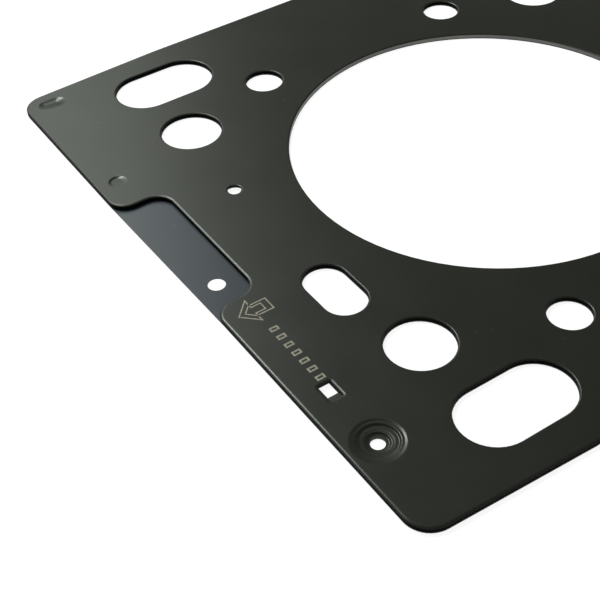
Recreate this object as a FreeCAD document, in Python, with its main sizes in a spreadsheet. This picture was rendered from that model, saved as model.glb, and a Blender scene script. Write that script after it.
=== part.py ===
"""Cylinder head gasket for one cylinder: two thin coated sheets, a carrier plate and a fire ring.

The gasket lies flat, with its underside at z = 0 and its front edge, the one with the window, at -X.
The origin is the bore's centre on the underside. All sizes are in millimetres, and angles in degrees.
"""

import FreeCAD, Part
import math
import os
import Sketcher
from FreeCAD import Placement, Rotation, Vector

DRIVING_DIMENSIONS = (
    ("bore_diameter", 130, "through every layer"),
    ("fire_ring_width", 1.2, "radial width of the fire ring"),
    ("fire_ring_gap", 0.05, "between the fire ring and the carrier plate round it"),
    ("lower_gauge", 0.3, "thickness of the lower sheet"),
    ("carrier_gauge", 1.2, "thickness of the carrier plate"),
    ("upper_gauge", 0.3, "thickness of the upper sheet"),
    ("bolt_column_spacing", 152, "between the front bolts and the rear bolts"),
    ("bolt_row_spacing", 126, "between the two bolts of a column"),
    ("bolt_hole_diameter", 20.5, "clearance hole for a head bolt"),
    ("front_margin_upper", 40.5, "from the front bolts to the front edge, above the window"),
    ("front_margin_lower", 39.2, "the same, below the window"),
    ("rear_margin", 39.8, "from the rear bolts to the rear edge"),
    ("corner_radius", 8, "outer corners"),
    ("end_taper", 2.1, "how much each long edge comes in towards the two ends"),
    ("taper_start", 14, "from a bolt column inwards to where the taper starts"),
    ("oil_slot_spacing", 31.5, "from a bolt hole's centre out to the oil slot's centre"),
    ("oil_slot_land", 11.2, "between an oil slot and the long edge"),
    ("oil_slot_shift", 6.8, "from a bolt column inwards to the oil slots' centre"),
    ("oil_slot_width", 21.6, "big oil return slots"),
    ("oil_slot_run", 14.6, "between the centres of an oil slot's round ends"),
    ("water_hole_diameter", 13.1, "round water holes"),
    ("lower_water_land", 14.35, "between the bore and a lower water hole"),
    ("lower_water_angle", 24.4, "of a lower water hole, from straight across the gasket"),
    ("upper_water_land", 12.45, "between the bore and an upper water hole"),
    ("upper_water_angle", 28.3, "of an upper water hole, from straight across the gasket"),
    ("water_slot_land", 10.4, "from the bore's side to a water slot's near side, along the gasket"),
    ("water_slot_side", 31.2, "water slots' centre, from the middle line"),
    ("water_slot_width", 13.7, "water slots, which run across the gasket"),
    ("water_slot_run", 9.7, "between the centres of a water slot's round ends"),
    ("vent_place", 81.2, "vent holes, from the bore's centre along the gasket"),
    ("vent_side", 26.3, "vent holes, from the middle line"),
    ("vent_diameter", 4.3, "vent holes in the upper sheet"),
    ("vent_relief", 1.1, "how much wider than that the vent holes of the layers below are, all round"),
    ("window_top", 39.1, "upper side of the window in the front edge, from the middle line"),
    ("window_bottom", 17.4, "lower side of the window, from the middle line"),
    ("window_depth", 15.2, "from the front edge below the window to the window's inner side"),
    ("window_radius", 6.2, "the window's corners"),
    ("locating_inset", 7.2, "from the front edge to the locating hole in the window"),
    ("locating_rise", 9.8, "from the window's lower side up to the locating hole"),
    ("locating_diameter", 5.4, "locating hole"),
    ("lance_inset", 9.4, "from the front edge to the lanced opening's centre"),
    ("lance_side", 63.3, "lanced opening's centre, from the middle line"),
    ("lance_width", 4, "lanced opening, along the gasket"),
    ("lance_length", 8.1, "lanced opening, across the gasket"),
    ("tab_length", 2.6, "lanced tab, as seen from above"),
    ("tab_side_gap", 0.2, "between the tab and the sides of its opening"),
    ("tab_floor_gap", 0.1, "between the tab's tip and the level of the lower sheet"),
    ("joint_inset", 9.3, "from the front edge to the stepped joint"),
    ("joint_spacing", 20.9, "from the lanced opening's centre to the stepped joint's"),
    ("joint_hole_diameter", 4.2, "hole in the middle of the stepped joint"),
    ("joint_outer_diameter", 15, "first step of the stepped joint"),
    ("joint_middle_diameter", 12, "second step"),
    ("joint_inner_diameter", 7.2, "third step, which rests on the lower sheet"),
    ("press_run", 0.45, "horizontal run of a pressed step's slope"),
    ("press_clearance", 0.4, "between a pressed form and the carrier plate round it"),
    ("dimple_inset", 7.3, "from the front edge to the round dimple"),
    ("dimple_rise", 13.5, "from the window's upper side to the round dimple"),
    ("dimple_diameter", 6.2, "round dimple"),
    ("dimple_floor_gap", 0.8, "between the dimple's underside and the lower sheet"),
    ("trough_inset", 9.5, "from the front edge to the long trough's centre"),
    ("trough_edge", 9.1, "from the long edge to the long trough's centre"),
    ("trough_width", 6.4, "long trough"),
    ("trough_run", 3.6, "between the centres of the trough's round ends"),
    ("trough_slope", 0.9, "horizontal run of the trough's wall"),
    ("trough_floor_gap", 0.4, "between the trough's underside and the lower sheet"),
)

# Two points nearer than this, in millimetres, are taken for one

SAME_PLACE = 0.01


class Size:
    """A size as a number, and as the formula over the sheet's cells that gives it."""

    def __init__(self, value, formula):
        self.value = value
        self.formula = formula

    def joined(self, other, value, sign):
        text = other.formula if isinstance(other, Size) else repr(other)
        return Size(value, "(" + self.formula + " " + sign + " " + text + ")")

    def __add__(self, other):
        return self.joined(other, self.value + number(other), "+")

    def __sub__(self, other):
        return self.joined(other, self.value - number(other), "-")

    def __mul__(self, other):
        return self.joined(other, self.value * number(other), "*")

    def __truediv__(self, other):
        return self.joined(other, self.value / number(other), "/")

    def __neg__(self):
        return Size(-self.value, "(-1 * " + self.formula + ")")


def number(size):
    return size.value if isinstance(size, Size) else size


def sine(angle):
    return Size(math.sin(math.radians(angle.value)), "sin(" + angle.formula + " * 1 deg)")


def cosine(angle):
    return Size(math.cos(math.radians(angle.value)), "cos(" + angle.formula + " * 1 deg)")


def bind(feature, path, size):
    """Tie a property to a size's formula, where the size has one."""
    if isinstance(size, Size):
        feature.setExpression(path, size.formula)


doc = FreeCAD.newDocument("head_gasket")
sheet = doc.addObject("Spreadsheet::Sheet", "Dimensions")
driving = {}
for row, (alias, value, meaning) in enumerate(DRIVING_DIMENSIONS, start=1):
    sheet.set("A%d" % row, alias)
    sheet.set("B%d" % row, str(value))
    sheet.set("C%d" % row, meaning)
    sheet.setAlias("B%d" % row, alias)
    driving[alias] = Size(value, "Dimensions." + alias)
doc.recompute()

# Places and sizes that several pieces share

bore_radius = driving["bore_diameter"] / 2
vent_radius = driving["vent_diameter"] / 2
bolt_side = driving["bolt_row_spacing"] / 2
front_column = -(driving["bolt_column_spacing"] / 2)
rear_column = driving["bolt_column_spacing"] / 2
front_edge_upper = front_column - driving["front_margin_upper"]
front_edge_lower = front_column - driving["front_margin_lower"]
rear_edge = rear_column + driving["rear_margin"]
oil_slot_radius = driving["oil_slot_width"] / 2
oil_slot_side = bolt_side + driving["oil_slot_spacing"]
long_edge = oil_slot_side + oil_slot_radius + driving["oil_slot_land"]
window_top = driving["window_top"]
window_floor = -driving["window_bottom"]
window_radius = driving["window_radius"]
window_inner = front_edge_lower + driving["window_depth"]
carrier_level = driving["lower_gauge"]
upper_level = driving["lower_gauge"] + driving["carrier_gauge"]
locating_place = (front_edge_lower + driving["locating_inset"], window_floor + driving["locating_rise"])
lance_place = (front_edge_lower + driving["lance_inset"], -driving["lance_side"])
joint_place = (front_edge_lower + driving["joint_inset"], lance_place[1] - driving["joint_spacing"])
dimple_place = (front_edge_upper + driving["dimple_inset"], window_top + driving["dimple_rise"])
trough_place = (front_edge_upper + driving["trough_inset"], long_edge - driving["trough_edge"])
trough_radius = driving["trough_width"] / 2
trough_half_run = driving["trough_run"] / 2


# Sketch helpers

def new_sketch(body, name, plane="XY_Plane", offsets=(0, 0, 0)):
    """A sketch on one of the body's own origin planes, moved by offsets in the plane's own directions."""
    planes = [feature for feature in body.Origin.OriginFeatures if feature.Role == plane]
    sketch = body.newObject("Sketcher::SketchObject", name)
    sketch.AttachmentSupport = (planes[0], [""])
    sketch.MapMode = "FlatFace"
    sketch.AttachmentOffset = Placement(Vector(*[number(offset) for offset in offsets]), Rotation())
    for axis, offset in zip("xyz", offsets):
        bind(sketch, "AttachmentOffset.Base." + axis, offset)
    return sketch


def dimension(sketch, kind, *arguments):
    """A dimensional constraint whose last argument is a Size, tied to the sheet."""
    size = arguments[-1]
    index = sketch.addConstraint(Sketcher.Constraint(kind, *arguments[:-1], number(size)))
    bind(sketch, "Constraints[%d]" % index, size)


def place_point(sketch, geometry, point, x, y):
    dimension(sketch, "DistanceX", -1, 1, geometry, point, x)
    dimension(sketch, "DistanceY", -1, 1, geometry, point, y)


def add_circle(sketch, x, y, radius):
    circle = Part.Circle(Vector(number(x), number(y), 0), Vector(0, 0, 1), number(radius))
    index = sketch.addGeometry(circle, False)
    place_point(sketch, index, 3, x, y)
    dimension(sketch, "Radius", index, radius)


def add_polygon(sketch, corners):
    """A closed outline of straight lines, each corner tied to the sheet."""
    points = [Vector(number(x), number(y), 0) for x, y in corners]
    following = points[1:] + points[:1]
    lines = [Part.LineSegment(start, end) for start, end in zip(points, following)]
    indices = sketch.addGeometry(lines, False)
    for index, (x, y) in zip(indices, corners):
        place_point(sketch, index, 1, x, y)
    for index, after in zip(indices, indices[1:] + indices[:1]):
        sketch.addConstraint(Sketcher.Constraint("Coincident", index, 2, after, 1))


def add_slot(sketch, x, y, half_run, radius, upright=False):
    """A slot with round ends, along the sketch's X, or along its Y when upright."""
    turn = math.pi / 2 if upright else 0.0
    along = Vector(math.cos(turn), math.sin(turn), 0)
    across = Vector(-math.sin(turn), math.cos(turn), 0)
    centre = Vector(number(x), number(y), 0)
    run = along * number(half_run)
    side = across * number(radius)
    normal = Vector(0, 0, 1)
    near_circle = Part.Circle(centre - run, normal, number(radius))
    far_circle = Part.Circle(centre + run, normal, number(radius))
    near, far, lower, upper = sketch.addGeometry([
        Part.ArcOfCircle(near_circle, turn + math.pi / 2, turn + 3 * math.pi / 2),
        Part.ArcOfCircle(far_circle, turn - math.pi / 2, turn + math.pi / 2),
        Part.LineSegment(centre - run - side, centre + run - side),
        Part.LineSegment(centre + run + side, centre - run + side),
    ], False)
    sketch.addConstraint(Sketcher.Constraint("Tangent", near, 2, lower, 1))
    sketch.addConstraint(Sketcher.Constraint("Tangent", lower, 2, far, 1))
    sketch.addConstraint(Sketcher.Constraint("Tangent", far, 2, upper, 1))
    sketch.addConstraint(Sketcher.Constraint("Tangent", upper, 2, near, 1))
    if upright:
        place_point(sketch, near, 3, x, y - half_run)
        place_point(sketch, far, 3, x, y + half_run)
    else:
        place_point(sketch, near, 3, x - half_run, y)
        place_point(sketch, far, 3, x + half_run, y)
    dimension(sketch, "Radius", near, radius)


def add_path(sketch, stations, radius):
    """A closed outline of lines and arcs of one radius, each station tied to the sheet.

    A station is ("line", x, y), or ("arc", x, y, centre x, centre y, start angle, end angle), and x, y is
    where it ends. A "bend" has an arc's values and runs on smoothly into the next line. A plain arc meets
    a level line at a corner.
    """
    ends = [Vector(number(station[1]), number(station[2]), 0) for station in stations]
    indices = []
    for station, start, end in zip(stations, ends[-1:] + ends[:-1], ends):
        if station[0] == "line":
            indices.append((sketch.addGeometry(Part.LineSegment(start, end), False), 1, 2))
            continue
        centre = Vector(number(station[3]), number(station[4]), 0)
        circle = Part.Circle(centre, Vector(0, 0, 1), number(radius))
        first, last = math.radians(station[5]), math.radians(station[6])
        clockwise = last < first
        arc = Part.ArcOfCircle(circle, min(first, last), max(first, last))
        index = sketch.addGeometry(arc, False)
        indices.append((index, 2, 1) if clockwise else (index, 1, 2))
    for (index, start_point, end_point), station in zip(indices, stations):
        if station[0] == "line":
            place_point(sketch, index, end_point, station[1], station[2])
        else:
            place_point(sketch, index, 3, station[3], station[4])
    for station, joined, following in zip(stations, indices, indices[1:] + indices[:1]):
        kind = "Tangent" if station[0] == "bend" else "Coincident"
        sketch.addConstraint(Sketcher.Constraint(kind, joined[0], joined[2], following[0], following[1]))
        if station[0] == "arc":
            sketch.addConstraint(Sketcher.Constraint("Horizontal", following[0]))


# Feature helpers

def new_body(name, level):
    body = doc.addObject("PartDesign::Body", name)
    body.Label = name
    body.Placement = Placement(Vector(0, 0, number(level)), Rotation())
    bind(body, "Placement.Base.z", level)
    return body


def pad(body, sketch, length):
    feature = body.newObject("PartDesign::Pad", sketch.Name + "_pad")
    feature.Profile = sketch
    feature.Length = number(length)
    bind(feature, "Length", length)
    doc.recompute()


def pocket(body, sketch):
    """Cut a sketch that lies on the layer's upper face through the whole layer."""
    uncut = body.Tip.Shape.Volume
    feature = body.newObject("PartDesign::Pocket", sketch.Name + "_cut")
    feature.Profile = sketch
    feature.Type = "ThroughAll"
    feature.Midplane = True
    doc.recompute()
    if feature.Shape.Volume >= uncut:
        raise RuntimeError("%s cuts nothing" % feature.Name)
    return feature


def mirror_to_rear(body, feature):
    """Repeat a cut at the front half in the rear half."""
    planes = [plane for plane in body.Origin.OriginFeatures if plane.Role == "YZ_Plane"]
    mirrored = body.newObject("PartDesign::Mirrored", feature.Name + "_rear")
    mirrored.Originals = [feature]
    mirrored.MirrorPlane = (planes[0], [""])
    body.Tip = mirrored
    doc.recompute()


def round_upright_edges(body, places, radius, name):
    """Fillet the vertical edges that stand at the given places."""
    base = body.Tip
    chosen = []
    for edge_number, edge in enumerate(base.Shape.Edges, start=1):
        ends = [vertex.Point for vertex in edge.Vertexes]
        if len(ends) != 2 or abs(ends[0].z - ends[1].z) < SAME_PLACE:
            continue
        for x, y in places:
            if all(math.hypot(end.x - number(x), end.y - number(y)) < SAME_PLACE for end in ends):
                chosen.append("Edge%d" % edge_number)
    feature = body.newObject("PartDesign::Fillet", name)
    feature.Base = (base, chosen)
    feature.Radius = number(radius)
    bind(feature, "Radius", radius)
    body.Tip = feature
    doc.recompute()


# The outline and the holes that every layer has

def add_blank(body, prefix, gauge):
    """The outline: long edges that come in a little towards both ends, with round corners."""
    taper_front = front_column + driving["taper_start"]
    taper_rear = rear_column - driving["taper_start"]
    narrow = long_edge - driving["end_taper"]
    corners = [
        (front_edge_lower, -narrow),
        (taper_front, -long_edge),
        (taper_rear, -long_edge),
        (rear_edge, -narrow),
        (rear_edge, narrow),
        (taper_rear, long_edge),
        (taper_front, long_edge),
        (front_edge_upper, narrow),
        (front_edge_upper, window_top + window_radius),
        (front_edge_lower, window_floor - window_radius),
    ]
    sketch = new_sketch(body, prefix + "_outline")
    add_polygon(sketch, corners)
    pad(body, sketch, gauge)
    outer = [corners[0], corners[3], corners[4], corners[7]]
    round_upright_edges(body, outer, driving["corner_radius"], prefix + "_corners")


def add_water_hole(sketch, land, angle, side):
    """A round water hole beside the bore, in the front half."""
    radius = driving["water_hole_diameter"] / 2
    reach = bore_radius + land + radius
    add_circle(sketch, -(reach * sine(angle)), reach * cosine(angle) * side, radius)


def cut_shared_holes(body, prefix, gauge, bore_hole_radius, vent_hole_radius):
    """The bore, bolt holes, water holes, oil slots and vents. Only the bore and the vents vary by layer."""
    bore = new_sketch(body, prefix + "_bore", offsets=(0, 0, gauge))
    add_circle(bore, 0, 0, bore_hole_radius)
    pocket(body, bore)

    front = new_sketch(body, prefix + "_front_holes", offsets=(0, 0, gauge))
    oil_x = front_column + driving["oil_slot_shift"]
    for side in (-1, 1):
        add_circle(front, front_column, bolt_side * side, driving["bolt_hole_diameter"] / 2)
        add_slot(front, oil_x, oil_slot_side * side, driving["oil_slot_run"] / 2, oil_slot_radius)
    add_water_hole(front, driving["lower_water_land"], driving["lower_water_angle"], -1)
    add_water_hole(front, driving["upper_water_land"], driving["upper_water_angle"], 1)
    slot_radius = driving["water_slot_width"] / 2
    slot_x = -(bore_radius + driving["water_slot_land"] + slot_radius)
    slot_half_run = driving["water_slot_run"] / 2
    add_slot(front, slot_x, -driving["water_slot_side"], slot_half_run, slot_radius, upright=True)
    add_circle(front, -driving["vent_place"], driving["vent_side"], vent_hole_radius)
    mirror_to_rear(body, pocket(body, front))


def cut_window(body, prefix, gauge):
    """The window in the front edge, with round corners, that bares the lower sheet."""
    radius = window_radius
    outside = front_edge_upper - radius
    upper_start = front_edge_upper + radius
    lower_start = front_edge_lower + radius
    hollow_top = window_top - radius
    hollow_floor = window_floor + radius
    hollow_x = window_inner - radius
    above = window_top + radius
    below = window_floor - radius
    sketch = new_sketch(body, prefix + "_window", offsets=(0, 0, gauge))
    add_path(sketch, [
        ("line", outside, below),
        ("line", front_edge_lower, below),
        ("bend", lower_start, window_floor, lower_start, below, 180, 90),
        ("line", hollow_x, window_floor),
        ("bend", window_inner, hollow_floor, hollow_x, hollow_floor, -90, 0),
        ("line", window_inner, hollow_top),
        ("bend", hollow_x, window_top, hollow_x, hollow_top, 0, 90),
        ("line", upper_start, window_top),
        ("arc", front_edge_upper, above, upper_start, above, 270, 180),
        ("line", outside, above),
    ], radius)
    pocket(body, sketch)


# What only the upper sheet has

def press_round_form(body, prefix, place, diameters, depth, hole_diameter):
    """Press round steps down into the sheet, one inside the other, with a hole in the last or none."""
    gauge = driving["upper_gauge"]
    run = driving["press_run"]
    hole_radius = hole_diameter / 2 if hole_diameter is not None else 0.0
    blank = new_sketch(body, prefix + "_blank", offsets=(0, 0, gauge))
    add_circle(blank, place[0], place[1], diameters[0] / 2)
    pocket(body, blank)

    upper, lower = [], []
    for step, diameter in enumerate(diameters):
        before = depth * step
        after = depth * (step + 1)
        outer = diameter / 2
        inner = outer - run
        upper += [(outer, gauge - before), (inner, gauge - after)]
        lower += [(outer, -before), (inner, -after)]
    deepest = depth * len(diameters)
    upper.append((hole_radius, gauge - deepest))
    lower.append((hole_radius, -deepest))
    section = new_sketch(body, prefix + "_section", "XZ_Plane", (place[0], 0, -place[1]))
    add_polygon(section, upper + lower[::-1])
    turned = body.newObject("PartDesign::Revolution", prefix + "_steps")
    turned.Profile = section
    turned.ReferenceAxis = (section, ["V_Axis"])
    turned.Angle = 360
    body.Tip = turned
    doc.recompute()


def press_trough(body, prefix):
    """Press a long trough down into the sheet: a floor is added below, then the hollow is cut from above."""
    gauge = driving["upper_gauge"]
    depth = driving["carrier_gauge"] - driving["trough_floor_gap"]
    floor_radius = trough_radius - driving["trough_slope"]
    for kind, rim, floor in (
        ("AdditiveLoft", 0, -depth),
        ("SubtractiveLoft", gauge, gauge - depth),
    ):
        sections = []
        for part_name, level, radius in (("rim", rim, trough_radius), ("floor", floor, floor_radius)):
            section = new_sketch(body, prefix + "_" + kind + "_" + part_name, offsets=(0, 0, level))
            add_slot(section, trough_place[0], trough_place[1], trough_half_run, radius)
            sections.append(section)
        loft = body.newObject("PartDesign::" + kind, prefix + "_" + kind)
        loft.Profile = sections[0]
        loft.Sections = [sections[1]]
        body.Tip = loft
        doc.recompute()


def add_lanced_tab(body, prefix):
    """The tab left at the lower side of the lanced opening, bent down into it."""
    gauge = driving["upper_gauge"]
    width = driving["lance_width"] - driving["tab_side_gap"] * 2
    root = lance_place[1] - driving["lance_length"] / 2
    tip = root + driving["tab_length"]
    drop = driving["carrier_gauge"] - driving["tab_floor_gap"]
    sketch = new_sketch(body, prefix + "_side", "YZ_Plane", (0, 0, lance_place[0] - width / 2))
    add_polygon(sketch, [
        (root, 0),
        (tip - gauge, -drop),
        (tip, -drop),
        (tip, gauge - drop),
        (root + gauge, gauge),
        (root, gauge),
    ])
    pad(body, sketch, width)


def cut_lance(body, prefix, gauge):
    """The lanced opening, through every layer."""
    half_width = driving["lance_width"] / 2
    half_length = driving["lance_length"] / 2
    sketch = new_sketch(body, prefix + "_lance", offsets=(0, 0, gauge))
    x, y = lance_place
    add_polygon(sketch, [
        (x - half_width, y - half_length),
        (x + half_width, y - half_length),
        (x + half_width, y + half_length),
        (x - half_width, y + half_length),
    ])
    pocket(body, sketch)


# The layers

def build_lower_sheet():
    body = new_body("lower_sheet", 0)
    gauge = driving["lower_gauge"]
    add_blank(body, "lower", gauge)
    cut_shared_holes(body, "lower", gauge, bore_radius, vent_radius + driving["vent_relief"])
    holes = new_sketch(body, "lower_margin", offsets=(0, 0, gauge))
    add_circle(holes, locating_place[0], locating_place[1], driving["locating_diameter"] / 2)
    add_circle(holes, joint_place[0], joint_place[1], driving["joint_hole_diameter"] / 2)
    pocket(body, holes)
    cut_lance(body, "lower", gauge)
    return body


def build_carrier_plate():
    body = new_body("carrier_plate", carrier_level)
    gauge = driving["carrier_gauge"]
    add_blank(body, "carrier", gauge)
    ring_seat = bore_radius + driving["fire_ring_width"] + driving["fire_ring_gap"]
    cut_shared_holes(body, "carrier", gauge, ring_seat, vent_radius + driving["vent_relief"])
    cut_window(body, "carrier", gauge)
    clearance = driving["press_clearance"]
    holes = new_sketch(body, "carrier_margin", offsets=(0, 0, gauge))
    add_circle(holes, joint_place[0], joint_place[1], driving["joint_outer_diameter"] / 2 + clearance)
    add_circle(holes, dimple_place[0], dimple_place[1], driving["dimple_diameter"] / 2 + clearance)
    add_slot(holes, trough_place[0], trough_place[1], trough_half_run, trough_radius + clearance)
    pocket(body, holes)
    cut_lance(body, "carrier", gauge)
    return body


def build_upper_sheet():
    body = new_body("upper_sheet", upper_level)
    gauge = driving["upper_gauge"]
    add_blank(body, "upper", gauge)
    cut_shared_holes(body, "upper", gauge, bore_radius, vent_radius)
    cut_window(body, "upper", gauge)
    cut_lance(body, "upper", gauge)
    add_lanced_tab(body, "tab")
    steps = [
        driving["joint_outer_diameter"],
        driving["joint_middle_diameter"],
        driving["joint_inner_diameter"],
    ]
    step_depth = driving["carrier_gauge"] / len(steps)
    press_round_form(body, "joint", joint_place, steps, step_depth, driving["joint_hole_diameter"])
    dimple_depth = driving["carrier_gauge"] - driving["dimple_floor_gap"]
    press_round_form(body, "dimple", dimple_place, [driving["dimple_diameter"]], dimple_depth, None)
    press_trough(body, "trough")
    return body


def build_fire_ring():
    """The ring between the two sheets that takes the fire's heat and pressure off the carrier plate."""
    body = new_body("fire_ring", carrier_level)
    sketch = new_sketch(body, "ring")
    add_circle(sketch, 0, 0, bore_radius)
    add_circle(sketch, 0, 0, bore_radius + driving["fire_ring_width"])
    pad(body, sketch, driving["carrier_gauge"])
    return body


bodies = [build_lower_sheet(), build_carrier_plate(), build_upper_sheet(), build_fire_ring()]
doc.recompute()

for feature in doc.Objects:
    if "Invalid" in feature.State or "Error" in feature.State:
        raise RuntimeError("%s did not build: %s" % (feature.Name, feature.State))
for body in bodies:
    if body.Shape.isNull() or not body.Shape.isValid() or len(body.Shape.Solids) != 1:
        raise RuntimeError("%s is not one valid solid" % body.Label)

os.makedirs("parts", exist_ok=True)
for body in bodies:
    body.Shape.exportStep("parts/%s.step" % body.Label)
    box = body.Shape.BoundBox
    print(
        "%-16s volume %10.1f  x %.2f..%.2f  y %.2f..%.2f  z %.2f..%.2f"
        % (body.Label, body.Shape.Volume, box.XMin, box.XMax, box.YMin, box.YMax, box.ZMin, box.ZMax)
    )
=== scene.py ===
"""Looks for the cylinder head gasket: coated sheets, a bare steel fire ring and a plain printed mark."""

import math

import bmesh
import bpy
from mathutils import Color, Matrix, Vector


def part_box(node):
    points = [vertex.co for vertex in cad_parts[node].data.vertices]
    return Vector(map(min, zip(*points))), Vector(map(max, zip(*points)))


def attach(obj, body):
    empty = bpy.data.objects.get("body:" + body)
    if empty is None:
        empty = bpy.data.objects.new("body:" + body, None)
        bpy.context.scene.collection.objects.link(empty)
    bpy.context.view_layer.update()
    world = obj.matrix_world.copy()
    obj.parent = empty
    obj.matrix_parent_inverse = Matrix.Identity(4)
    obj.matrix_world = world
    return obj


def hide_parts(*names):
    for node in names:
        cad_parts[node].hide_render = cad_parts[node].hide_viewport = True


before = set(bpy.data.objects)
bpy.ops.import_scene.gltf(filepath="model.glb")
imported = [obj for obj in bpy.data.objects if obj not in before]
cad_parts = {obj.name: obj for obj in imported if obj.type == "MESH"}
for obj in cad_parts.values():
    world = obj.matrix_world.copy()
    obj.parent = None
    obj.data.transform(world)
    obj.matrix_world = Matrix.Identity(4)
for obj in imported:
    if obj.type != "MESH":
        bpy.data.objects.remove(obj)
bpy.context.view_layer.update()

MM = 0.001
UPPER_LOW, UPPER_HIGH = (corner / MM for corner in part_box("upper_sheet"))

# The photograph's camera, in the row frame

CAMERA_PLACE_MM = Vector((-222.23, -244.52, 235.27))
CAMERA_RIGHT = Vector((0.83216, -0.55238, -0.04878))
CAMERA_UP = Vector((0.40509, 0.54548, 0.73372))
CAMERA_LENS_MM = 72.20
CAMERA_SENSOR_MM = 36.0
CAMERA_SHIFT_Y = -0.0083
CAMERA_CLIP_MM = 10

# Light, floor and backdrop, with powers in watts

SOFTBOX_PLACE_MM = Vector((120, 860, 620))
SOFTBOX_AIM_MM = Vector((-110, 60, 0))
SOFTBOX_SIZE_MM = (300, 520)
SOFTBOX_POWER = 0.92
KEY_PLACE_MM = Vector((-140, 696, 867))
KEY_AIM_MM = Vector((-105, 20, 0))
KEY_SIZE_MM = (300, 300)
KEY_POWER = 6.3
LIGHT_COLOUR = (0.93, 1.0, 0.93)
WORLD_STRENGTH = 0.10
BACKDROP_RISE_SINE = 0.15
BACKDROP_WHITE = 0.94
FLOOR_HALF_MM = 3000
FLOOR_DROP_MM = 0.02
FLOOR_GREY = 0.35
FLOOR_GLOW = 0.9
FLOOR_ROUGHNESS = 0.9

# Colours as they look on screen, from 0 to 255

UPPER_TINTS = ((45, 48, 40), (49, 51, 43))
UPPER_SPECK = (120, 120, 112)
LOWER_TINTS = ((63, 69, 82), (68, 74, 86))
LOWER_SPECK = (120, 120, 118)
CORE_TINTS = ((9, 9, 8), (14, 14, 13))
CORE_SPECK = (24, 24, 22)
STEEL_TINTS = ((92, 92, 89), (112, 112, 109))
INK_TINTS = ((160, 152, 136), (206, 197, 180))

# How rough and how shiny the surfaces are

UPPER_ROUGHNESS = 0.32
LOWER_ROUGHNESS = 0.29
CORE_ROUGHNESS = 0.7
STEEL_ROUGHNESS = 0.45
INK_ROUGHNESS = 0.6
SHEET_SHINE = 0.5
CORE_SHINE = 0.03

# Noise in the materials, with its scales per metre and the stops between which its tints change

PATCH_SCALE = 28
PATCH_STOPS = (0.35, 0.65)
SPECK_SCALE = 900
SPECK_STOPS = (0.80, 0.84)
STEEL_LINE_SCALES = (40, 40, 4000)
STEEL_LINE_STOPS = (0.3, 0.7)
INK_SCALE = 1800
INK_STOPS = (0.35, 0.6)
ROUGHNESS_SCALE = 60
ROUGHNESS_SPREAD = 0.05
GRAIN_SCALE = 2200
GRAIN_STRENGTH = 0.05
GRAIN_DEPTH_MM = 0.02

# Rims and pressed forms, in millimetres and radians

SHEET_GAUGE = 0.3
RIM_ROUND = 0.12
RIM_STEPS = 3
FLAT_ANGLE = math.radians(1.5)
SHARP_ANGLE = math.radians(35)
SAME_LEVEL = 0.001
SAME_PLACE = 1.0
OUTLINE_ROLL_WIDTH = 0.85
HOLE_ROLL_WIDTH = 0.5
FRONT_ROLL_SHARE = 0.45
FRONT_FADE = 1.2
ROLL_DROP = 0.27
ROLL_STEPS = 6
FLAT_MARGIN = 0.3
JOINT_PLACE = Vector((-105.9, -84.2))
JOINT_LEAN = math.radians(25)
JOINT_STEPS = ((0.0, 0.2), (1.4, 0.46), (2.9, 0.08), (3.9, 0.44))
JOINT_SLOPES = (0.5, 1.5)
JOINT_REACH = 5.45
JOINT_RINGS = 36
DIMPLE_PLACE = Vector((-109.2, 52.6))
DIMPLE_LEAN = math.radians(130)
DIMPLE_STEPS = ((0.0, 0.42),)
DIMPLE_SLOPES = (0.7, 1.8)
DIMPLE_REACH = 2.7
TROUGH_PLACE = Vector((-107.0, 107.4))
TROUGH_LEAN = math.radians(185)
TROUGH_STEPS = ((0.0, 1.0),)
TROUGH_SLOPES = (1.5, 2.8)
TROUGH_REACH = 3.0
HOLLOW_RINGS = 16
DEEP_SIDE = math.radians(70)
DEPTH_POWER = 1.6

# The lanced opening and its tab, in millimetres

LANCE_PLACE = Vector((-105.8, -63.3))
LANCE_ENDS = (-2.85, 3.45)
LANCE_CORNER = 0.5
CORNER_STEPS = 6
LANCE_ROLL_WIDTH = 0.85
TAB_SIDES = (-1.97, 1.55)
TAB_LENGTH = 2.4
TAB_DROP = 1.1
TAB_STEPS = 8
TAB_ROOT_OVERLAP = 0.25
TAB_ROOT_DROP = ROLL_DROP * 0.6
TAB_GAUGE = SHEET_GAUGE * 0.7

# The printed mark, in millimetres

PRINT_THICKNESS = 0.012
ARROW_PLACE = Vector((-105.7, -24.8))
ARROW_SIZES = (10.6, 6.4)
ARROW_SHAFT_SHARE = 0.5
ARROW_STROKE = 0.42
BAR_X = -105.2
BAR_FIRST_Y = -34.6
BAR_PITCH = 3.8
BAR_COUNT = 7
BAR_HEIGHT = 2.8
BAR_WIDTH = 1.8
BAR_STROKE = 0.56


# Materials

def screen_colour(levels):
    """A colour given as it looks on screen, from 0 to 255, in Blender's linear values."""
    return (*Color(level / 255 for level in levels).from_srgb_to_scene_linear(), 1.0)


def grey(value):
    return (value, value, value, 1.0)


def new_material(name):
    material = bpy.data.materials.new(name)
    material.use_nodes = True
    tree = material.node_tree
    return material, tree, tree.nodes["Principled BSDF"]


def add_node(tree, kind, **settings):
    """A node with some of its properties or its sockets' values set."""
    node = tree.nodes.new(kind)
    for name, value in settings.items():
        if name in node.inputs:
            node.inputs[name].default_value = value
        else:
            setattr(node, name, value)
    return node


def add_noise(tree, coordinates, scale, detail):
    noise = add_node(tree, "ShaderNodeTexNoise", Scale=scale, Detail=detail)
    tree.links.new(coordinates, noise.inputs["Vector"])
    return noise.outputs["Fac"]


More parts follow.
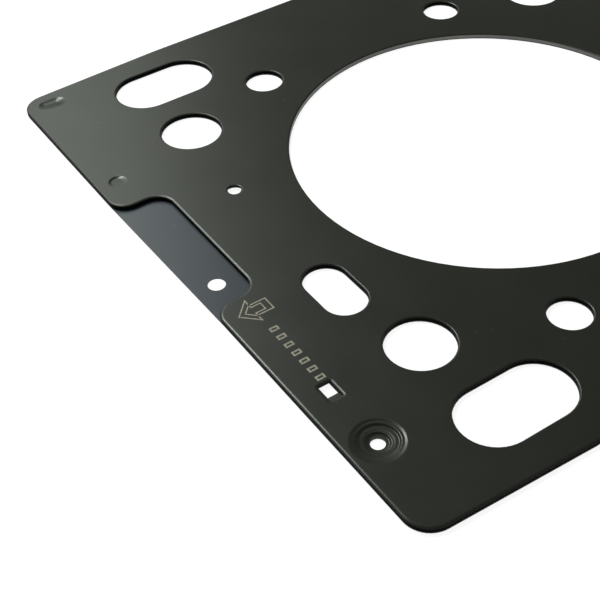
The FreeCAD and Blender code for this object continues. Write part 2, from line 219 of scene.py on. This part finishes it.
def add_ramp(tree, factor, stops, colours):
    """A ramp from one colour, at the first stop, to another, at the second."""
    ramp = tree.nodes.new("ShaderNodeValToRGB")
    for element, stop, colour in zip(ramp.color_ramp.elements, stops, colours):
        element.position = stop
        element.color = colour
    tree.links.new(factor, ramp.inputs["Fac"])
    return ramp.outputs["Color"]


def add_tint(tree, factor, stops, tints):
    """A ramp between two colours given as they look on screen."""
    return add_ramp(tree, factor, stops, [screen_colour(tint) for tint in tints])


def coating_material(name, tints, speck, roughness, shine):
    """A thin satin coating on steel: slow patches of tint, a fine grain and a few pale specks."""
    material, tree, shader = new_material(name)
    place = tree.nodes.new("ShaderNodeNewGeometry").outputs["Position"]

    patches = add_noise(tree, place, PATCH_SCALE, detail=3)
    tint = add_tint(tree, patches, PATCH_STOPS, tints)
    specks = add_noise(tree, place, SPECK_SCALE, detail=1)
    speck_mask = add_ramp(tree, specks, SPECK_STOPS, (grey(0), grey(1)))
    mixed = add_node(tree, "ShaderNodeMix", data_type="RGBA")
    # The colour sockets go by number, because the hidden sockets have the same names
    plain_colour, speck_colour, mixed_colour = mixed.inputs[6], mixed.inputs[7], mixed.outputs[2]
    tree.links.new(speck_mask, mixed.inputs["Factor"])
    tree.links.new(tint, plain_colour)
    speck_colour.default_value = screen_colour(speck)
    tree.links.new(mixed_colour, shader.inputs["Base Color"])

    shader.inputs["Specular IOR Level"].default_value = shine
    waves = add_noise(tree, place, ROUGHNESS_SCALE, detail=4)
    spread = tree.nodes.new("ShaderNodeMapRange")
    spread.inputs["To Min"].default_value = roughness - ROUGHNESS_SPREAD
    spread.inputs["To Max"].default_value = roughness + ROUGHNESS_SPREAD
    tree.links.new(waves, spread.inputs["Value"])
    tree.links.new(spread.outputs["Result"], shader.inputs["Roughness"])

    grain = add_noise(tree, place, GRAIN_SCALE, detail=2)
    bump = add_node(tree, "ShaderNodeBump", Strength=GRAIN_STRENGTH, Distance=GRAIN_DEPTH_MM * MM)
    tree.links.new(grain, bump.inputs["Height"])
    tree.links.new(bump.outputs["Normal"], shader.inputs["Normal"])
    return material


def ring_material():
    """Bare rolled steel with fine lines round the ring."""
    material, tree, shader = new_material("ring_steel")
    place = tree.nodes.new("ShaderNodeNewGeometry").outputs["Position"]
    stretch = add_node(tree, "ShaderNodeMapping", Scale=STEEL_LINE_SCALES)
    tree.links.new(place, stretch.inputs["Vector"])
    lines = add_noise(tree, stretch.outputs["Vector"], 1, detail=3)
    tint = add_tint(tree, lines, STEEL_LINE_STOPS, STEEL_TINTS)
    tree.links.new(tint, shader.inputs["Base Color"])
    shader.inputs["Metallic"].default_value = 1.0
    shader.inputs["Roughness"].default_value = STEEL_ROUGHNESS
    return material


def print_material():
    """Pale beige ink, a little darker where it is thin."""
    material, tree, shader = new_material("print_ink")
    place = tree.nodes.new("ShaderNodeNewGeometry").outputs["Position"]
    thin = add_noise(tree, place, INK_SCALE, detail=2)
    tint = add_tint(tree, thin, INK_STOPS, INK_TINTS)
    tree.links.new(tint, shader.inputs["Base Color"])
    shader.inputs["Roughness"].default_value = INK_ROUGHNESS
    return material


# Plan outlines, as loops of points in millimetres with the metal on their left

def direction(angle):
    """The unit plan vector at this angle."""
    return Vector((math.cos(angle), math.sin(angle)))


def smooth_step(share):
    share = min(max(share, 0.0), 1.0)
    return share * share * (3 - 2 * share)


def flat_loops(node, level):
    """The loops round a node's flat face at this level, the outline's and the holes'."""
    def plan_point(vert):
        """The vertex's plan point to a thousandth of a millimetre, so that neighbouring faces agree."""
        return round(vert.co.x / MM, 3), round(vert.co.y / MM, 3)

    def is_flat(face):
        return all(abs(vert.co.z / MM - level) < SAME_LEVEL for vert in face.verts)

    source = bmesh.new()
    source.from_mesh(node.data)
    corners = [corner for face in source.faces if is_flat(face) for corner in face.loops]
    sides = {(plan_point(corner.vert), plan_point(corner.link_loop_next.vert)) for corner in corners}
    source.free()
    following = {start: end for start, end in sides if (end, start) not in sides}
    loops = []
    while following:
        start = next(iter(following))
        loop = [start]
        while following[loop[-1]] != start:
            loop.append(following.pop(loop[-1]))
        following.pop(loop[-1])
        loops.append([Vector(point) for point in loop])
    return loops


def shift_loop(loop, distance, share_at=None):
    """The loop moved sideways by a distance, to its left, which is into the metal.

    With share_at, each point moves by its own share of the distance.
    """
    moved = []
    for before, point, after in zip(loop[-1:] + loop[:-1], loop, loop[1:] + loop[:1]):
        first = (point - before).normalized()
        second = (after - point).normalized()
        normal = Vector((-first.y - second.y, first.x + second.x))
        reach = distance * share_at(point) if share_at else distance
        moved.append(point + normal * (reach / (1 + first.dot(second))))
    return moved


def loop_box(loop):
    """The least and the greatest x and y of a loop, as two plan points."""
    xs, ys = [point.x for point in loop], [point.y for point in loop]
    return Vector((min(xs), min(ys))), Vector((max(xs), max(ys)))


def stands_at(loop, place):
    """Whether the middle of the loop is at the place."""
    low, high = loop_box(loop)
    return ((low + high) / 2 - place).length < SAME_PLACE


def lance_loop(loop):
    """The opening's outline in the upper sheet: shorter than below it, and with round corners."""
    low, high = loop_box(loop)
    first, last = (LANCE_PLACE.y + end for end in LANCE_ENDS)
    places = ((low.x, first), (low.x, last), (high.x, last), (high.x, first))
    corners = [Vector(place) for place in places]
    rounded = []
    for before, corner, after in zip(corners[-1:] + corners[:-1], corners, corners[1:] + corners[:1]):
        start = corner + (before - corner).normalized() * LANCE_CORNER
        end = corner + (after - corner).normalized() * LANCE_CORNER
        for step in range(CORNER_STEPS + 1):
            share = step / CORNER_STEPS
            rounded.append(start.lerp(corner, share).lerp(corner.lerp(end, share), share))
    return rounded


# Meshes in millimetres, turned into pieces in metres

def new_piece(name, mesh_mm, material):
    """A piece of the gasket from a bmesh in millimetres."""
    bmesh.ops.recalc_face_normals(mesh_mm, faces=mesh_mm.faces)
    bmesh.ops.scale(mesh_mm, vec=(MM, MM, MM), verts=mesh_mm.verts)
    data = bpy.data.meshes.new(name)
    mesh_mm.to_mesh(data)
    mesh_mm.free()
    data.shade_smooth()
    data.set_sharp_from_angle(angle=SHARP_ANGLE)
    data.materials.append(material)
    piece = bpy.data.objects.new(name, data)
    bpy.context.scene.collection.objects.link(piece)
    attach(piece, "root")
    return piece


def add_ring(mesh, loop, level):
    return [mesh.verts.new((point.x, point.y, level)) for point in loop]


def bridge(mesh, outer, inner):
    """Quads between two rings of as many points."""
    for index in range(len(outer)):
        mesh.faces.new((outer[index - 1], outer[index], inner[index], inner[index - 1]))


def fill_rings(mesh, rings):
    """A flat face inside the outermost ring and outside the others."""
    edges = [mesh.edges.get((ring[index - 1], ring[index])) for ring in rings for index in range(len(ring))]
    bmesh.ops.triangle_fill(mesh, edges=edges, use_beauty=True, use_dissolve=False, normal=(0, 0, 1))


# The upper sheet

class PressedForm:
    """A hollow pressed into the sheet in steps, which are steep on the side it leans to.

    A step is the distance from the form's edge at which it starts, and its drop. The two slopes are the
    plan widths of a step's wall: where the form leans, and opposite. A form with a deep side has a floor,
    and rises to nothing on the other side. One without has a hole in its middle.
    """

    def __init__(self, place, lean, steps, slopes, reach, rings, deep_side=None):
        self.place = place
        self.lean = direction(lean)
        self.steps = steps
        self.steep_slope, self.gentle_slope = slopes
        self.reach = reach
        self.rings = rings
        self.has_floor = deep_side is not None
        self.deep_side = direction(deep_side) if self.has_floor else None

    def drop_at(self, reach, way):
        """How deep the steps are at this reach from the form's edge, where the way leads inwards."""
        steepness = smooth_step((1 - way.normalized().dot(self.lean)) / 2)
        slope = self.gentle_slope + (self.steep_slope - self.gentle_slope) * steepness
        return sum(drop * min(max((reach - run) / slope, 0.0), 1.0) for run, drop in self.steps)

    def depth_share(self, point, half_width):
        """The share of the steps' depth at this point, which is less away from the deep side."""
        if not self.has_floor:
            return 1.0
        aside = (point - self.place).dot(self.deep_side) / half_width
        return max((aside + 1) / 2, 0.0) ** DEPTH_POWER

    def half_width(self, loop):
        """How far the form's edge is from its middle, towards its deep side."""
        if not self.has_floor:
            return None
        return max((point - self.place).dot(self.deep_side) for point in loop)

    def add_rings(self, mesh, loop, level):
        """Rings from the flat face at this level down into the form."""
        rings = [add_ring(mesh, shift_loop(loop, FLAT_MARGIN), level)]
        inward = [moved - point for point, moved in zip(loop, shift_loop(loop, -1.0))]
        half_width = self.half_width(loop)
        for ring in range(self.rings + 1):
            reach = self.reach * ring / self.rings
            verts = []
            for edge, way in zip(loop, inward):
                point = edge + way * reach
                depth = self.drop_at(reach, way) * self.depth_share(point, half_width)
                verts.append(mesh.verts.new((point.x, point.y, level - depth)))
            rings.append(verts)
        return rings


def pressed_forms():
    """The stepped joint, the round dimple and the long trough."""
    return [
        PressedForm(JOINT_PLACE, JOINT_LEAN, JOINT_STEPS, JOINT_SLOPES, JOINT_REACH, JOINT_RINGS),
        PressedForm(
            DIMPLE_PLACE, DIMPLE_LEAN, DIMPLE_STEPS, DIMPLE_SLOPES, DIMPLE_REACH, HOLLOW_RINGS, DEEP_SIDE
        ),
        PressedForm(
            TROUGH_PLACE, TROUGH_LEAN, TROUGH_STEPS, TROUGH_SLOPES, TROUGH_REACH, HOLLOW_RINGS, DEEP_SIDE
        ),
    ]


def roll_width(loop):
    """How wide the rim of this loop is drawn down: wider round the outline and the lanced opening."""
    if stands_at(loop, LANCE_PLACE):
        return LANCE_ROLL_WIDTH
    if max(point.y for point in loop) > UPPER_HIGH.y - SAME_PLACE:
        return OUTLINE_ROLL_WIDTH
    return HOLE_ROLL_WIDTH


def roll_share(point):
    """The share of its rim's width that is drawn down at this point: less along the front edge."""
    return 1 - (1 - FRONT_ROLL_SHARE) * smooth_step((UPPER_LOW.x + FRONT_FADE - point.x) / FRONT_FADE)


def add_rolled_rim(mesh, loop, level):
    """Rings from the flat face at this level out to the edge, drawn down as a punch leaves it.

    Returns them and the lower ring of the edge.
    """
    width = roll_width(loop)
    if stands_at(loop, LANCE_PLACE):
        loop = lance_loop(loop)
    profile = [(width + FLAT_MARGIN, 0.0)]
    for step in range(ROLL_STEPS + 1):
        share = step / ROLL_STEPS
        profile.append((width * (1 - share), ROLL_DROP * share ** 2))
    upper = [
        add_ring(mesh, shift_loop(loop, inset, roll_share), level - drop) for inset, drop in profile
    ]
    return upper, add_ring(mesh, loop, level - SHEET_GAUGE)


def build_upper_sheet(material):
    """The upper sheet, with its punched rims drawn down and its pressed forms soft."""
    top = UPPER_HIGH.z
    forms = pressed_forms()
    mesh = bmesh.new()
    upper_flats, lower_flats = [], []
    for loop in flat_loops(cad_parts["upper_sheet"], top):
        form = next((form for form in forms if stands_at(loop, form.place)), None)
        if form:
            upper = form.add_rings(mesh, loop, top)
            lower = form.add_rings(mesh, loop, top - SHEET_GAUGE)
        else:
            upper, lower_edge = add_rolled_rim(mesh, loop, top)
            lower = [lower_edge]
        for rings in (upper, lower):
            for outer, inner in zip(rings, rings[1:]):
                bridge(mesh, outer, inner)
        if form and form.has_floor:
            mesh.faces.new(upper[-1])
            mesh.faces.new(lower[-1])
        else:
            bridge(mesh, upper[-1], lower[-1])
        upper_flats.append(upper[0])
        lower_flats.append(lower[0])
    fill_rings(mesh, upper_flats)
    fill_rings(mesh, lower_flats)
    piece = new_piece("upper_sheet_pressed", mesh, material)
    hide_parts("upper_sheet")


def build_tab(material):
    """The lanced tab, bent down from the opening's end towards -Y."""
    root = LANCE_PLACE.y + LANCE_ENDS[0] - TAB_ROOT_OVERLAP
    top = UPPER_HIGH.z - TAB_ROOT_DROP
    outline = []
    for step in range(TAB_STEPS + 1):
        turn = step / TAB_STEPS * math.pi / 2
        outline.append((root + TAB_LENGTH * math.sin(turn), top - TAB_DROP * (1 - math.cos(turn))))
    under = [(y - TAB_GAUGE, z - TAB_GAUGE) for y, z in reversed(outline)]
    mesh = bmesh.new()
    front, rear = (
        [mesh.verts.new((LANCE_PLACE.x + side, y, z)) for y, z in outline + under] for side in TAB_SIDES
    )
    bridge(mesh, front, rear)
    mesh.faces.new(front)
    mesh.faces.new(rear)
    new_piece("lanced_tab", mesh, material)


# The printed mark

def add_stroke(mesh, outline, width, floor):
    """A thin flat print of a closed line, of this width and inside the outline."""
    inner = shift_loop(outline, width)
    rings = [
        add_ring(mesh, outline, floor),
        add_ring(mesh, outline, floor + PRINT_THICKNESS),
        add_ring(mesh, inner, floor + PRINT_THICKNESS),
        add_ring(mesh, inner, floor),
    ]
    for ring, after in zip(rings, rings[1:] + rings[:1]):
        bridge(mesh, ring, after)


def arrow_outline(size):
    """An arrow that points to -X, as long and as wide as the size."""
    half = size / 2
    notch = half * ARROW_SHAFT_SHARE
    corners = [(-half, 0), (0, -half), (0, -notch), (half, -notch), (half, notch), (0, notch), (0, half)]
    return [ARROW_PLACE + Vector(corner) for corner in corners]


def bar_outline(index):
    """One bar of the row, which runs towards -Y."""
    middle = Vector((BAR_X, BAR_FIRST_Y - BAR_PITCH * index))
    across, along = BAR_WIDTH / 2, BAR_HEIGHT / 2
    corners = [(-along, -across), (along, -across), (along, across), (-along, across)]
    return [middle + Vector(corner) for corner in corners]


def build_print():
    """A plain arrow towards the front edge, in two outlines, and a row of plain bars."""
    mesh = bmesh.new()
    for size in ARROW_SIZES:
        add_stroke(mesh, arrow_outline(size), ARROW_STROKE, UPPER_HIGH.z)
    for index in range(BAR_COUNT):
        add_stroke(mesh, bar_outline(index), BAR_STROKE, UPPER_HIGH.z)
    new_piece("printed_mark", mesh, print_material())


# The other layers

def dress_node(name, material):
    """Give a CAD node its material, and round its punched rims."""
    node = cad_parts[name]
    node.data.materials.clear()
    node.data.materials.append(material)
    merge = node.modifiers.new("merge_flats", "DECIMATE")
    merge.decimate_type = "DISSOLVE"
    merge.angle_limit = FLAT_ANGLE
    rims = node.modifiers.new("round_rims", "BEVEL")
    rims.width = RIM_ROUND * MM
    rims.segments = RIM_STEPS
    rims.limit_method = "ANGLE"
    rims.angle_limit = SHARP_ANGLE
    rims.harden_normals = True


def build_layers():
    upper = coating_material("coated_upper", UPPER_TINTS, UPPER_SPECK, UPPER_ROUGHNESS, SHEET_SHINE)
    lower = coating_material("coated_lower", LOWER_TINTS, LOWER_SPECK, LOWER_ROUGHNESS, SHEET_SHINE)
    core = coating_material("coated_core", CORE_TINTS, CORE_SPECK, CORE_ROUGHNESS, CORE_SHINE)
    build_upper_sheet(upper)
    build_tab(upper)
    dress_node("lower_sheet", lower)
    dress_node("carrier_plate", core)
    dress_node("fire_ring", ring_material())
    build_print()


# Stage

def add_area_light(name, place_mm, aim_mm, size_mm, power):
    data = bpy.data.lights.new(name, "AREA")
    data.shape = "RECTANGLE"
    data.size, data.size_y = (side * MM for side in size_mm)
    data.energy = power
    data.color = LIGHT_COLOUR
    light = bpy.data.objects.new(name, data)
    bpy.context.scene.collection.objects.link(light)
    light.location = place_mm * MM
    light.rotation_euler = (aim_mm - place_mm).to_track_quat("-Z", "Y").to_euler()


def add_math(tree, operation, first, second):
    """The result of a Math node of two sockets, or of a socket and a number."""
    node = add_node(tree, "ShaderNodeMath", operation=operation)
    tree.links.new(first, node.inputs[0])
    if isinstance(second, bpy.types.NodeSocket):
        tree.links.new(second, node.inputs[1])
    else:
        node.inputs[1].default_value = second
    return node.outputs["Value"]


def background_rays(tree):
    """1 for the rays that see the white background: the camera's, and those in reflections and in glass."""
    path = tree.nodes.new("ShaderNodeLightPath")
    seen = path.outputs["Is Camera Ray"]
    for kind in ("Is Glossy Ray", "Is Transmission Ray"):
        seen = add_math(tree, "MAXIMUM", seen, path.outputs[kind])
    return seen


def link_in_order(tree, sources, node):
    """Link the sources to the node's sockets, from the first one on."""
    for source, socket in zip(sources, node.inputs):
        tree.links.new(source, socket)


def pick_shader(tree, factor, plain, seen, output):
    """Send the plain shader to the output, or the seen one where the factor is 1."""
    pick = tree.nodes.new("ShaderNodeMixShader")
    link_in_order(tree, (factor, plain, seen), pick)
    tree.links.new(pick.outputs["Shader"], tree.nodes[output].inputs["Surface"])


def floor_material():
    """White to the camera and in reflections, but for the gasket's own shadow."""
    material, tree, shader = new_material("floor")
    shader.inputs["Base Color"].default_value = grey(FLOOR_GREY)
    shader.inputs["Roughness"].default_value = FLOOR_ROUGHNESS
    shader.inputs["Specular IOR Level"].default_value = 0.0
    glow = add_node(tree, "ShaderNodeEmission", Color=grey(1.0), Strength=FLOOR_GLOW)
    both = tree.nodes.new("ShaderNodeAddShader")
    link_in_order(tree, (shader.outputs["BSDF"], glow.outputs["Emission"]), both)
    rays = background_rays(tree)
    pick_shader(tree, rays, shader.outputs["BSDF"], both.outputs["Shader"], "Material Output")
    return material


def add_floor():
    half = FLOOR_HALF_MM * MM
    mesh = bpy.data.meshes.new("floor")
    corners = [(-half, -half, 0), (half, -half, 0), (half, half, 0), (-half, half, 0)]
    mesh.from_pydata(corners, [], [(0, 1, 2, 3)])
    mesh.materials.append(floor_material())
    floor = bpy.data.objects.new("floor", mesh)
    bpy.context.scene.collection.objects.link(floor)
    floor.location.z = -FLOOR_DROP_MM * MM


def set_world():
    """Dim light from all round, and white to the camera everywhere and in reflections near the horizon."""
    world = bpy.data.worlds.new("studio")
    bpy.context.scene.world = world
    world.use_nodes = True
    tree = world.node_tree
    dim = tree.nodes["Background"]
    dim.inputs["Color"].default_value = grey(1.0)
    dim.inputs["Strength"].default_value = WORLD_STRENGTH
    white = add_node(tree, "ShaderNodeBackground", Color=grey(1.0), Strength=BACKDROP_WHITE)

    height = tree.nodes.new("ShaderNodeSeparateXYZ")
    tree.links.new(tree.nodes.new("ShaderNodeTexCoord").outputs["Generated"], height.inputs["Vector"])
    low = add_math(tree, "LESS_THAN", height.outputs["Z"], BACKDROP_RISE_SINE)
    low_rays = add_math(tree, "MULTIPLY", low, background_rays(tree))
    camera_rays = tree.nodes.new("ShaderNodeLightPath").outputs["Is Camera Ray"]
    rays = add_math(tree, "MAXIMUM", low_rays, camera_rays)
    pick_shader(tree, rays, dim.outputs["Background"], white.outputs["Background"], "World Output")


def set_camera():
    data = bpy.data.cameras.new("camera")
    data.lens = CAMERA_LENS_MM
    data.sensor_width = CAMERA_SENSOR_MM
    data.shift_y = CAMERA_SHIFT_Y
    data.clip_start = CAMERA_CLIP_MM * MM
    camera = bpy.data.objects.new("camera", data)
    bpy.context.scene.collection.objects.link(camera)
    back = CAMERA_RIGHT.cross(CAMERA_UP)
    turn = Matrix((CAMERA_RIGHT, CAMERA_UP, back)).transposed()
    camera.matrix_world = Matrix.Translation(CAMERA_PLACE_MM * MM) @ turn.to_4x4()
    bpy.context.scene.camera = camera


def set_stage():
    bpy.context.scene.view_settings.view_transform = "Standard"
    set_camera()
    set_world()
    add_floor()
    add_area_light("softbox", SOFTBOX_PLACE_MM, SOFTBOX_AIM_MM, SOFTBOX_SIZE_MM, SOFTBOX_POWER)
    add_area_light("key", KEY_PLACE_MM, KEY_AIM_MM, KEY_SIZE_MM, KEY_POWER)


build_layers()
set_stage()
